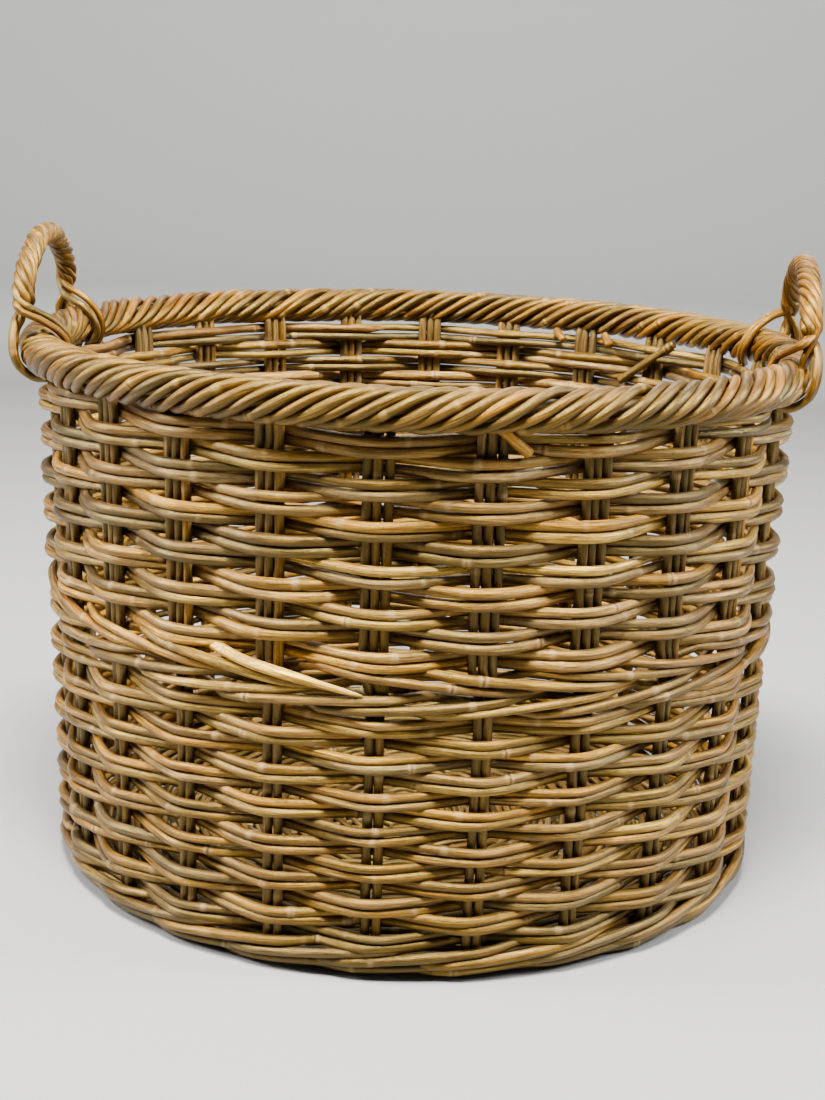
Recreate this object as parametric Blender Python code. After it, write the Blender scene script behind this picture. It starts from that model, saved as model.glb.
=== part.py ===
"""Round woven rattan laundry basket: an open tub of upright stake groups and paired weavers,
a rolled rope border and two rope handles. Metres, +Z up, standing on z = 0 with its axis on
the world Z axis. -Y is the front and the handles stand at the -X and +X sides."""

import math

import bmesh
import bpy

# Driving dimensions.
GAP = 0.0003
RIM_RADIUS = 0.285
RIM_HEIGHT = 0.3935
BORDER_THICKNESS = 0.029
WALL_RADIUS_FOOT = 0.2635
WALL_RADIUS_RIM = 0.2760

STAKE_COUNT = 24
FIRST_STAKE = math.radians(-79.9)
BACK_LEAD = math.radians(2.9)
STAKE_DEPTH = 0.0058
STAKE_WIDTH_UPPER = 0.0172
STAKE_WIDTH_LOWER = 0.0116
STAKE_FOOT = 0.0146
STAKE_TOP = 0.3785

WEAVER_DEPTH = 0.0056
COURSE_BAND = 0.0115
UPPER_COURSES = 10
UPPER_TOP = 0.3705
UPPER_PITCH = 0.0142
LOWER_COURSES = 12
LOWER_TOP = 0.1817
LOWER_PITCH = 0.01276
HALF_FLOAT = 0.0115

WALE_DEPTH = 0.0062
MID_WALE = (0.1885, 0.2355)
UPSETT_OUTER = (0.0146, 0.0345)
UPSETT_INNER = (0.0205, 0.0345)
RING_STEPS = 48

FOOT_HEIGHT = 0.0142
FOOT_INNER = 0.2460
FOOT_OUTER = 0.2690
FOOT_ROUNDING = 0.0075
BASE_RADIUS = 0.2455
BASE_UNDERSIDE = 0.0100
BASE_THICKNESS = 0.0100
BASE_CROWN = 0.0008
STICK_WIDTH = 0.0080
STICK_BOTTOM = 0.0045

HANDLE_SIDES = {"handle_left": math.radians(180.0), "handle_right": math.radians(-6.0)}
HANDLE_PLANE = 0.2850
HANDLE_HALF_WIDTH = 0.083
HANDLE_LEG = 0.030
HANDLE_RISE = 0.048
HANDLE_ROPE_RADIUS = 0.0083
WRAP_ROD_RADIUS = 0.0035

RATTAN_STAKE = (0.30, 0.19, 0.075)
RATTAN_WEAVER = (0.40, 0.26, 0.105)
RATTAN_WEAVER_PALE = (0.46, 0.32, 0.15)
RATTAN_WALE = (0.43, 0.28, 0.11)
RATTAN_BORDER = (0.42, 0.24, 0.075)
RATTAN_HANDLE = (0.45, 0.26, 0.08)
RATTAN_BASE = (0.36, 0.24, 0.10)


def clear_scene():
    for obj in list(bpy.data.objects):
        bpy.data.objects.remove(obj, do_unlink=True)


def rattan(name, colour, roughness=0.5):
    material = bpy.data.materials.new(name)
    material.use_nodes = True
    shader = material.node_tree.nodes["Principled BSDF"]
    shader.inputs["Base Color"].default_value = (*colour, 1.0)
    shader.inputs["Roughness"].default_value = roughness
    shader.inputs["Metallic"].default_value = 0.0
    return material


def add_object(name, mesh, colour, smooth_angle=None):
    mesh.materials.append(rattan(name, colour))
    if smooth_angle is not None:
        mesh.shade_smooth()
        mesh.set_sharp_from_angle(angle=math.radians(smooth_angle))
    obj = bpy.data.objects.new(name, mesh)
    bpy.context.scene.collection.objects.link(obj)
    return obj


def mesh_from(name, points, faces):
    mesh = bpy.data.meshes.new(name)
    mesh.from_pydata(points, [], faces)
    bm = bmesh.new()
    bm.from_mesh(mesh)
    bmesh.ops.recalc_face_normals(bm, faces=bm.faces)
    bm.to_mesh(mesh)
    bm.free()
    return mesh


def wall_radius(height):
    """Distance from the axis to the middle of the stakes: the tub widens evenly to the rim."""
    share = height / RIM_HEIGHT
    return WALL_RADIUS_FOOT + (WALL_RADIUS_RIM - WALL_RADIUS_FOOT) * share


def stake_angle(index):
    """Stakes are evenly spaced, but each side's share drifts a little towards the back."""
    turn = 2 * math.pi * index / STAKE_COUNT
    return FIRST_STAKE + turn + BACK_LEAD * (1 - math.cos(turn)) / 2


def around(angle, radius, height, sideways=0.0):
    """A point at radius along angle, moved sideways along the tangent there."""
    return (
        radius * math.cos(angle) - sideways * math.sin(angle),
        radius * math.sin(angle) + sideways * math.cos(angle),
        height,
    )


def loft(name, sections, closed):
    """Bridge equal point loops; an open loft gets a cap at each end, a closed one none."""
    size = len(sections[0])
    count = len(sections)
    points = [point for section in sections for point in section]
    faces = []
    for step in range(count if closed else count - 1):
        here = step * size
        there = (step + 1) % count * size
        for side in range(size):
            after = (side + 1) % size
            faces.append((here + side, here + after, there + after, there + side))
    if not closed:
        faces.append(tuple(range(size)))
        faces.append(tuple(range((count - 1) * size, count * size)))
    return mesh_from(name, points, faces)


def build_stake(index):
    """A group of upright rods side by side, as one flat bar: three rods above the middle
    wale and two below it."""
    name = f"stake_{index + 1:02d}"
    angle = stake_angle(index)
    middle = sum(MID_WALE) / 2
    levels = [
        (STAKE_FOOT, STAKE_WIDTH_LOWER),
        (middle - 0.004, STAKE_WIDTH_LOWER),
        (middle + 0.004, STAKE_WIDTH_UPPER),
        (STAKE_TOP, STAKE_WIDTH_UPPER),
    ]
    sections = []
    for height, width in levels:
        inside = wall_radius(height) - STAKE_DEPTH / 2
        outside = wall_radius(height) + STAKE_DEPTH / 2
        sections.append(
            [
                around(angle, inside, height, -width / 2),
                around(angle, outside, height, -width / 2),
                around(angle, outside, height, width / 2),
                around(angle, inside, height, width / 2),
            ]
        )
    add_object(name, loft(name, sections, closed=False), RATTAN_STAKE)


def build_course(name, height, first_outside, colour):
    """One closed course of a weaver pair: outside one stake, inside the next."""
    reach = STAKE_DEPTH / 2 + GAP + WEAVER_DEPTH / 2
    flat = HALF_FLOAT / wall_radius(height)
    sections = []
    for index in range(STAKE_COUNT):
        outside = (index % 2 == 0) == first_outside
        # The chord between the two ends of a float dips towards the axis by this much.
        dip = wall_radius(height) * (1 - math.cos(flat))
        offset = reach + dip if outside else -reach
        middle = wall_radius(height) + offset
        for angle in (stake_angle(index) - flat, stake_angle(index) + flat):
            sections.append(
                [
                    around(angle, middle - WEAVER_DEPTH / 2, height - COURSE_BAND / 2),
                    around(angle, middle + WEAVER_DEPTH / 2, height - COURSE_BAND / 2),
                    around(angle, middle + WEAVER_DEPTH / 2, height + COURSE_BAND / 2),
                    around(angle, middle - WEAVER_DEPTH / 2, height + COURSE_BAND / 2),
                ]
            )
    add_object(name, loft(name, sections, closed=True), colour)


def build_courses():
    for index in range(UPPER_COURSES):
        name = f"weave_upper_{index + 1:02d}"
        colour = RATTAN_WEAVER if index % 2 else RATTAN_WEAVER_PALE
        build_course(name, UPPER_TOP - index * UPPER_PITCH, index % 2 == 1, colour)
    for index in range(LOWER_COURSES):
        name = f"weave_lower_{index + 1:02d}"
        colour = RATTAN_WEAVER if index % 2 else RATTAN_WEAVER_PALE
        build_course(name, LOWER_TOP - index * LOWER_PITCH, index % 2 == 1, colour)


def turned_ring(name, profile, colour):
    """Turn a closed outline of (radius, height) points about the axis."""
    sections = []
    for step in range(RING_STEPS):
        angle = 2 * math.pi * step / RING_STEPS
        sections.append([around(angle, radius, height) for radius, height in profile])
    add_object(name, loft(name, sections, closed=True), colour, smooth_angle=30)


def build_wale(name, span, side, colour):
    """The long floats of a wale that lie on one side of the stakes, as one band."""
    low, high = span
    # Flat stakes reach past their middle radius at their corners.
    corner = math.hypot(wall_radius(high), STAKE_WIDTH_UPPER / 2) - wall_radius(high)
    sagitta = wall_radius(high) * (1 - math.cos(math.pi / RING_STEPS))
    near = STAKE_DEPTH / 2 + GAP + (corner + sagitta if side > 0 else 0.0)
    far = near + WALE_DEPTH
    profile = [
        (wall_radius(low) + side * near, low),
        (wall_radius(low) + side * far, low),
        (wall_radius(high) + side * far, high),
        (wall_radius(high) + side * near, high),
    ]
    turned_ring(name, profile, colour)


def build_foot():
    """The rolled bottom edge: flat underneath, rounded at its outer corner."""
    profile = [(FOOT_INNER, 0.0)]
    steps = 4
    for step in range(steps + 1):
        turn = math.pi / 2 * step / steps
        profile.append(
            (
                FOOT_OUTER - FOOT_ROUNDING + FOOT_ROUNDING * math.sin(turn),
                FOOT_ROUNDING - FOOT_ROUNDING * math.cos(turn),
            )
        )
    profile.append((FOOT_OUTER, FOOT_HEIGHT))
    profile.append((FOOT_INNER, FOOT_HEIGHT))
    turned_ring("foot_ring", profile, RATTAN_WALE)


def build_base_weave():
    """The woven floor of the basket, a disc a little thicker in the middle."""
    top = BASE_UNDERSIDE + BASE_THICKNESS
    rings = [
        (BASE_RADIUS, BASE_UNDERSIDE),
        (BASE_RADIUS, top),
        (BASE_RADIUS / 2, top + BASE_CROWN),
    ]
    sections = []
    for radius, height in rings:
        turns = [2 * math.pi * step / RING_STEPS for step in range(RING_STEPS)]
        sections.append([around(turn, radius, height) for turn in turns])
    mesh = loft("base_weave", sections, closed=False)
    add_object("base_weave", mesh, RATTAN_BASE, smooth_angle=30)


def build_base_sticks():
    """The crossed sticks under the floor: a star with one spoke for each stake group."""
    half = STICK_WIDTH / 2
    notch = half / math.sin(math.pi / STAKE_COUNT)
    outline = []
    for spoke in range(STAKE_COUNT):
        angle = 2 * math.pi * spoke / STAKE_COUNT
        outline.append(around(angle, BASE_RADIUS, STICK_BOTTOM, -half))
        outline.append(around(angle, BASE_RADIUS, STICK_BOTTOM, half))
        outline.append(around(angle + math.pi / STAKE_COUNT, notch, STICK_BOTTOM))
    bm = bmesh.new()
    bottom = bm.faces.new([bm.verts.new(point) for point in outline])
    raised = bmesh.ops.extrude_face_region(bm, geom=[bottom])
    thickness = BASE_UNDERSIDE - GAP - STICK_BOTTOM
    for item in raised["geom"]:
        if isinstance(item, bmesh.types.BMVert):
            item.co.z += thickness
    bmesh.ops.recalc_face_normals(bm, faces=bm.faces)
    mesh = bpy.data.meshes.new("base_sticks")
    bm.to_mesh(mesh)
    bm.free()
    add_object("base_sticks", mesh, RATTAN_BASE)


def build_border():
    """The rolled border, a thick rope lying on top of the stakes."""
    radius = BORDER_THICKNESS / 2
    sides = 10
    profile = []
    for side in range(sides):
        turn = 2 * math.pi * side / sides
        profile.append(
            (RIM_RADIUS + radius * math.cos(turn), RIM_HEIGHT + radius * math.sin(turn))
        )
    turned_ring("border_rope", profile, RATTAN_BORDER)


def handle_route():
    """(sideways, outwards, up, rope radius) of one handle from its middle down to the end
    of its wrap. Outwards and up are measured from the middle of the border."""
    lift = HANDLE_LEG
    outwards = HANDLE_PLANE - RIM_RADIUS * math.cos(HANDLE_HALF_WIDTH / RIM_RADIUS)
    route = []
    arch_steps = 9
    for step in range(arch_steps + 1):
        turn = math.pi / 2 * (1 - step / arch_steps)
        sideways = HANDLE_HALF_WIDTH * math.cos(turn)
        # The border curves away under the middle of the arch.
        bow = RIM_RADIUS * (1 - math.cos(sideways / RIM_RADIUS))
        up = lift + HANDLE_RISE * math.sin(turn)
        route.append((sideways, bow + HANDLE_PLANE - RIM_RADIUS, up, HANDLE_ROPE_RADIUS))
    # Below the leg one rod runs on round the outside of the border to its underside.
    clear = BORDER_THICKNESS / 2 + GAP + WRAP_ROD_RADIUS + 0.0008
    route.append((HANDLE_HALF_WIDTH, outwards + 0.002, 0.0235, HANDLE_ROPE_RADIUS * 0.88))
    route.append((HANDLE_HALF_WIDTH, outwards + 0.0045, 0.0150, HANDLE_ROPE_RADIUS * 0.62))
    for degrees in (18, -5, -28, -51):
        turn = math.radians(degrees)
        route.append(
            (
                HANDLE_HALF_WIDTH,
                clear * math.cos(turn),
                clear * math.sin(turn),
                WRAP_ROD_RADIUS,
            )
        )
    return route


def build_handle(name, side_angle):
    """A rope bow standing on the border, with a rod wrapped round the border at each leg."""
    half = handle_route()
    mirrored = [(-sideways, out, up, radius) for sideways, out, up, radius in half[:0:-1]]
    curve = bpy.data.curves.new(name, "CURVE")
    curve.dimensions = "3D"
    curve.bevel_depth = 1.0
    curve.bevel_resolution = 3
    curve.use_fill_caps = True
    spline = curve.splines.new("POLY")
    route = mirrored + half
    spline.points.add(len(route) - 1)
    for point, (sideways, out, up, radius) in zip(spline.points, route):
        # The border's own middle at this sideways distance, in the handle's local frame.
        middle = RIM_RADIUS * math.cos(sideways / RIM_RADIUS)
        along = RIM_RADIUS * math.sin(sideways / RIM_RADIUS)
        x, y, z = around(side_angle, middle + out, RIM_HEIGHT + up, along)
        point.co = (x, y, z, 1.0)
        point.radius = radius
    curve.materials.append(rattan(name, RATTAN_HANDLE))
    bpy.context.scene.collection.objects.link(bpy.data.objects.new(name, curve))


def main():
    clear_scene()
    build_base_sticks()
    build_base_weave()
    build_foot()
    build_wale("upsett_outer", UPSETT_OUTER, 1, RATTAN_WALE)
    build_wale("upsett_inner", UPSETT_INNER, -1, RATTAN_WALE)
    for index in range(STAKE_COUNT):
        build_stake(index)
    build_courses()
    build_wale("wale_mid_outer", MID_WALE, 1, RATTAN_WALE)
    build_wale("wale_mid_inner", MID_WALE, -1, RATTAN_WALE)
    build_border()
    for name, side_angle in HANDLE_SIDES.items():
        build_handle(name, side_angle)


main()
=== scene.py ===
"""Looks of the round rattan laundry basket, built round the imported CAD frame.

Every rod is a swept tube with its own colour, thickness and nodes. The rods are grouped into one
piece for each CAD node that they stand for. Metres, +Z up, the front at -Y.
"""

import collections
import math

import bpy
import numpy as np
from mathutils import Matrix, Vector


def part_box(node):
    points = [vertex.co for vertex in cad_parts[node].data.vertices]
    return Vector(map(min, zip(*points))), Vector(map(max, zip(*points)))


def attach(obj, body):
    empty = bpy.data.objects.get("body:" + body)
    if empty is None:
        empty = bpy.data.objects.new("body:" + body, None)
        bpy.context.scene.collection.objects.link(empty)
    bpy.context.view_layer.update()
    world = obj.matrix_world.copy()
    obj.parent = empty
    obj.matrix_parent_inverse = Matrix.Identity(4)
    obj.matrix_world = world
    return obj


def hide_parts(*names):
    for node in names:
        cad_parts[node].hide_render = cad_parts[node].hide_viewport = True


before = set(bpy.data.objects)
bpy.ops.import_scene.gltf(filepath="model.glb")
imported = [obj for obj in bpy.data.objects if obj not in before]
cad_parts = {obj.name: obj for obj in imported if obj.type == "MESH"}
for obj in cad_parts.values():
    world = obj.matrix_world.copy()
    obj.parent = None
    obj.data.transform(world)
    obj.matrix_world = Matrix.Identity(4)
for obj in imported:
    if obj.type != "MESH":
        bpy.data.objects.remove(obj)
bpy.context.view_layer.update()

RANDOM = np.random.default_rng(24)
FULL_TURN = 2 * math.pi

# ---- the frame's own sizes


def outer_radius(node):
    """The radius of a ring node's outer face."""
    low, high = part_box(node)
    return (high[0] - low[0] + high[1] - low[1]) / 4


def middle_height(node):
    low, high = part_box(node)
    return (low[2] + high[2]) / 2


ROPE_RADIUS = 0.0145
RIM_HEIGHT = middle_height("border_rope")
RIM_RADIUS = outer_radius("border_rope") - ROPE_RADIUS
MIDDLE = middle_height("wale_mid_outer")

WALL_RADIUS_FOOT = 0.2635
WALL_RADIUS_RIM = 0.2760

STAKE_COUNT = 24
FIRST_STAKE = math.radians(-79.9)
# The stakes at the back stand this much further round than even spacing puts them.
BACK_LEAD = math.radians(2.9)
STAKE_ROD = 0.00340

UPPER_COURSES = 10
LOWER_COURSES = 12
UPPER_ROD = 0.00395
LOWER_ROD = 0.00350


def wall_radius(height):
    share = np.asarray(height) / RIM_HEIGHT
    return WALL_RADIUS_FOOT + (WALL_RADIUS_RIM - WALL_RADIUS_FOOT) * share


def stake_angle(index):
    """The direction of a stake, for whole and broken indices alike."""
    turn = FULL_TURN * np.asarray(index) / STAKE_COUNT
    return FIRST_STAKE + turn + BACK_LEAD * (1 - np.cos(turn)) / 2


def on_circle(angle, radius, height):
    angle, radius, height = np.broadcast_arrays(angle, radius, height)
    return np.stack([radius * np.cos(angle), radius * np.sin(angle), height], axis=1)


# ---- colours of single rods

def srgb(red, green, blue):
    """A linear colour from the three 0-255 values of a paint chart."""
    value = np.array([red, green, blue]) / 255
    return np.where(value < 0.04045, value / 12.92, ((value + 0.055) / 1.055) ** 2.4)


HONEY = srgb(212, 164, 56)
STRAW = srgb(240, 206, 96)
TAN = srgb(180, 144, 80)
GREY = srgb(156, 134, 94)
ORANGE = srgb(208, 154, 42)
BROWN = srgb(134, 98, 52)
DARK = srgb(66, 50, 34)

# Each palette holds its colours and how often each comes up.
UPPER_COLOURS = ((HONEY, 4), (STRAW, 2), (TAN, 7), (GREY, 5), (ORANGE, 1.5), (BROWN, 3))
WALL_COLOURS = ((HONEY, 6), (STRAW, 4), (TAN, 5), (GREY, 3), (ORANGE, 4), (BROWN, 2))
STAKE_COLOURS = ((HONEY, 3), (TAN, 5), (GREY, 4), (BROWN, 5), (ORANGE, 1))
BORDER_COLOURS = ((HONEY, 7), (STRAW, 1.5), (TAN, 3), (GREY, 1), (ORANGE, 6), (BROWN, 2))
HANDLE_COLOURS = ((HONEY, 6), (STRAW, 1), (TAN, 3), (GREY, 2), (ORANGE, 3))
BASE_COLOURS = ((TAN, 3), (GREY, 3), (BROWN, 5), (DARK, 1.5))

UPPER_SHADE = 1.0
LOWER_SHADE = 0.78
STAKE_SHADE = 0.75
RIM_SHADE = 0.52
HANDLE_SHADE = 0.60
# The rods at the foot of the wall are darkened as painted shade near the floor.
FOOT_PAINTED_SHADE = 0.42
# The floor's rods are darkened as painted shade inside and under the basket.
BASE_PAINTED_SHADE = 0.50

# The darkest, the commonest and the lightest that one rod may be, as shares of its colour.
ROD_SHADES = (0.09, 0.19, 0.64)
MOST_MIX = 0.35


def pick_colour(palette, shade=1.0):
    """One rod's colour: mostly one of the palette, part way to another, and lighter or darker."""
    weights = np.array([weight for _, weight in palette], float)
    first, second = RANDOM.choice(len(palette), 2, p=weights / weights.sum())
    mix = RANDOM.uniform(0, MOST_MIX)
    colour = palette[first][0] * (1 - mix) + palette[second][0] * mix
    return colour * shade * RANDOM.triangular(*ROD_SHADES)


# ---- rods

class Rods:
    """Collects swept rods and turns them into one mesh with what the material reads."""

    def __init__(self):
        self.points = []
        self.faces = []
        self.colours = []
        self.grain = []
        self.knots = []
        self.strips = []
        self.count = 0

    def add(self, path, radius, colour, sides=8, taper=(0, 0), node_step=0.19):
        """Sweep a round section along path. radius is one number or one for each point, taper
        gives the lengths over which the start and the end come to a point, and node_step is the
        usual distance between two nodes of the cane (None for a rod without any)."""
        path, length, radius, knot = with_nodes(np.asarray(path, float), radius, node_step)
        radius = radius * end_taper(length, taper)
        rings = len(path)
        turn = np.arange(sides) * FULL_TURN / sides
        self.points.append(tube_points(path, radius, turn))
        self.add_faces(rings, sides)
        self.colours.append(np.broadcast_to(np.append(colour, 1.0), (rings * sides, 4)))
        self.grain.append(grain_coordinates(length + RANDOM.uniform(0, GRAIN_SPREAD), turn))
        self.knots.append(np.repeat(knot, sides))
        self.strips.append((sides, length))
        self.count += rings * sides

    def add_faces(self, rings, sides):
        """The quads between the rings that come next, and a cap on each end."""
        index = self.count + np.arange(rings * sides).reshape(rings, sides)
        after = np.roll(index, -1, axis=1)
        quads = np.stack([index[:-1], after[:-1], after[1:], index[1:]], axis=-1)
        self.faces += quads.reshape(-1, 4).tolist()
        self.faces.append(index[0][::-1].tolist())
        self.faces.append(index[-1].tolist())

    def mesh(self, name):
        mesh = bpy.data.meshes.new(name)
        mesh.from_pydata(np.concatenate(self.points).tolist(), [], self.faces)
        for attribute, kind, key, parts in (
            ("rod_colour", "FLOAT_COLOR", "color", self.colours),
            ("rod_grain", "FLOAT_VECTOR", "vector", self.grain),
            ("rod_knot", "FLOAT", "value", self.knots),
        ):
            values = np.concatenate(parts).astype(np.float32).ravel()
            mesh.attributes.new(attribute, kind, "POINT").data.foreach_set(key, values)
        unwrap_strips(mesh, self.strips)
        mesh.shade_smooth()
        return mesh


def distance_along(path):
    steps = np.linalg.norm(np.diff(path, axis=0), axis=1)
    return np.concatenate([[0], np.cumsum(steps)])


def tube_points(path, radius, turn):
    """The points of a round tube, ring after ring along path, at the angles turn."""
    tangent = np.gradient(path, axis=0)
    tangent /= np.linalg.norm(tangent, axis=1)[:, None]
    side, up = turn_frames(tangent)
    ring = side[:, None] * np.cos(turn)[None, :, None] + up[:, None] * np.sin(turn)[None, :, None]
    return (path[:, None] + ring * radius[:, None, None]).reshape(-1, 3)


# A rod that stands up (this is the sine of its angle from upright) takes its frame from a level
# direction instead of from upright.
STEEP = 0.35
UPRIGHT = (0.0, 0.0, 1.0)
LEVEL_DIRECTION = (0.6, 0.8, 0.0)


def turn_frames(tangent):
    """Two unit vectors across each tangent, steady along the rod: side lies level."""
    level = np.cross(tangent, UPRIGHT)
    if (np.linalg.norm(level, axis=1) < STEEP).any():
        level = np.cross(tangent, LEVEL_DIRECTION)
    side = level / np.linalg.norm(level, axis=1)[:, None]
    return side, np.cross(side, tangent)


# Each rod's grain starts somewhere along this many metres of noise.
GRAIN_SPREAD = 50


def grain_coordinates(along, turn):
    """Where the material looks up a point's grain: the distance along, and the way round."""
    shape = (len(along), len(turn))
    parts = [np.broadcast_to(part, shape) for part in (along[:, None], np.cos(turn), np.sin(turn))]
    return np.stack(parts, axis=-1).reshape(-1, 3)


NODE_REACH = 0.0026
NODE_RINGS = (-0.0050, -0.0024, -0.0010, 0.0, 0.0010, 0.0024, 0.0050)
NODE_STRENGTH = (0.25, 1.0)
NODE_SWELLING = 0.13
NODE_SPACING = (0.7, 1.35)
NODE_FROM_END = 0.006
SHORTEST_WITH_NODES = 0.03


def with_nodes(path, radius, node_step):
    """Put the cane's nodes on a rod, as low swellings. Returns the path, the distance along it,
    the radius and the node strength, with the extra rings that the nodes need."""
    length = distance_along(path)
    radius = np.broadcast_to(np.asarray(radius, float), length.shape)
    places = node_places(length[-1], node_step)
    extra = [place + shift for place in places for shift in NODE_RINGS]
    fine = np.unique(np.round(np.concatenate([length, extra]), 5)) if places else length
    fine = fine[(fine >= 0) & (fine <= length[-1])]
    knot = np.zeros_like(fine)
    for place in places:
        strength = RANDOM.uniform(*NODE_STRENGTH)
        knot = np.maximum(knot, strength * np.exp(-(((fine - place) / NODE_REACH) ** 2)))
    new_path = np.stack([np.interp(fine, length, path[:, axis]) for axis in range(3)], axis=1)
    radius = np.interp(fine, length, radius) * unevenness(fine) * (1 + NODE_SWELLING * knot)
    return new_path, fine, radius, knot


def node_places(total, node_step):
    """Distances along a rod of that length at which its nodes stand."""
    places = []
    if not node_step or total < SHORTEST_WITH_NODES:
        return places
    place = RANDOM.uniform(NODE_FROM_END, node_step)
    while place < total - NODE_FROM_END:
        places.append(place)
        place += node_step * RANDOM.uniform(*NODE_SPACING)
    return places


def unevenness(length):
    """A cane's thickness along it, as shares of its usual thickness: two slow waves."""
    slow = 0.04 * np.sin(length * 47 + RANDOM.uniform(0, 6))
    return 1 + slow + 0.02 * np.sin(length * 131)


TIP = 0.12
TIP_ROUNDING = 0.6


def end_taper(length, taper):
    """Shrinks the radius towards each end over the two taper lengths."""
    scale = np.ones_like(length)
    for from_end, reach in ((length, taper[0]), (length[-1] - length, taper[1])):
        if reach:
            scale *= TIP + (1 - TIP) * np.clip(from_end / reach, 0, 1) ** TIP_ROUNDING
    return scale


SKIN_WIDTH = FULL_TURN * 0.0032
ROW_HEIGHT = SKIN_WIDTH * 1.12
CAP_RADIUS = 0.0015
CAP_INSET = 0.002
ROW_END = 0.012
SHEET_MARGIN = 0.001


def unwrap_strips(mesh, strips):
    """Lay each rod's skin out as strips in rows, so that a baked map is as fine everywhere."""
    total = sum(length[-1] for _, length in strips)
    width = math.sqrt(total * ROW_HEIGHT) * 1.02
    rows = math.ceil(total / width) + 1
    scale = 1 / max(width + ROW_END, rows * ROW_HEIGHT)
    coordinates = []
    run = 0.0
    for sides, length in strips:
        coordinates += strip_corners(run, length, sides, width)
        run += length[-1]
    layer = mesh.uv_layers.new(name="OFBake")
    flat = np.concatenate(coordinates) * scale + SHEET_MARGIN
    layer.data.foreach_set("uv", flat.astype(np.float32).ravel())


def strip_corners(run, length, sides, width):
    """One rod's place on the sheet, face by face: its quads, then its two caps."""
    start = run + length[:-1]
    row = np.floor(start / width)
    left = start - row * width
    right = left + np.diff(length)
    low = row[:, None] * ROW_HEIGHT + SKIN_WIDTH * np.arange(sides)[None] / sides
    high = low + SKIN_WIDTH / sides
    left = np.broadcast_to(left[:, None], low.shape)
    right = np.broadcast_to(right[:, None], low.shape)
    corners = ((left, low), (left, high), (right, high), (right, low))
    quads = np.stack([np.stack(corner, -1) for corner in corners], axis=2)
    turn = np.arange(sides) * FULL_TURN / sides
    cap = np.stack([np.cos(turn), np.sin(turn)], -1) * CAP_RADIUS
    caps = [cap + [left[k, 0] + CAP_INSET, low[k, 0] + SKIN_WIDTH / 2] for k in (0, -1)]
    return [quads.reshape(-1, 2), *caps]


def smooth_noise(places, scale, strength):
    """A slow random wave along a rod, from a few sines with seeded phases."""
    value = np.zeros_like(places)
    for octave in range(3):
        phase = RANDOM.uniform(0, FULL_TURN)
        value += np.sin(places / scale * (1 + 0.83 * octave) + phase) / (1 + octave)
    return value * strength / 1.5


# ---- material

# How much of each noise a rod's surface holds: along it to a metre, round it, and how rough.
Pattern = collections.namedtuple("Pattern", "along around detail roughness")
DRIFT = Pattern(12.0, 0.7, 2.0, 0.5)
STRIPES = Pattern(26.0, 2.3, 3.0, 0.6)
FIBRES = Pattern(55.0, 5.5, 4.0, 0.62)
FINE_FIBRES = Pattern(140.0, 13.0, 3.0, 0.7)
STAINS = Pattern(38.0, 0.9, 3.0, 0.6)
BLEACHING = Pattern(21.0, 0.8, 3.0, 0.55)
SPECKS = Pattern(420.0, 2.6, 2.0, 0.55)
FRECKLED = Pattern(14.0, 0.6, 1.0, 0.5)

# What a patch's colour is multiplied by.
DRIFT_TINT = (0.60, 0.52, 0.42)
STAIN_TINT = (0.50, 0.38, 0.24)
LIGHT_STRIPE_TINT = (1.8, 1.68, 1.2)
LIGHT_FIBRE_TINT = (1.8, 1.68, 1.3)
DARK_FIBRE_TINT = (0.46, 0.36, 0.26)
FINE_FIBRE_TINT = (0.38, 0.29, 0.21)
SPECK_TINT = (0.30, 0.17, 0.08)
NODE_TINT = (0.50, 0.35, 0.20)
NODE_RING_TINT = (0.26, 0.16, 0.09)
# Painted shade for what faces down.
PAINTED_UNDERSIDE_SHADE = (0.74, 0.66, 0.58)
# Painted shade for the seams where rods touch.
PAINTED_SEAM_SHADE = (0.74, 0.64, 0.56)

BLEACHED = (0.62, 0.46, 0.19)
NODE_BARK = (0.50, 0.36, 0.17)
WALL_VARNISH = (0.92, 0.88, 0.96)
RIM_VARNISH = (1.0, 0.83, 0.46)
# How far the ambient occlusion for the painted seam shade reaches.
SEAM_REACH = 0.0075
GLOSS_LEVEL = 0.75
GLOSS_TINT = (1.0, 0.72, 0.20, 1)
BUMP_STRENGTH = 0.55
BUMP_DEPTH = 0.0006


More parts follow.
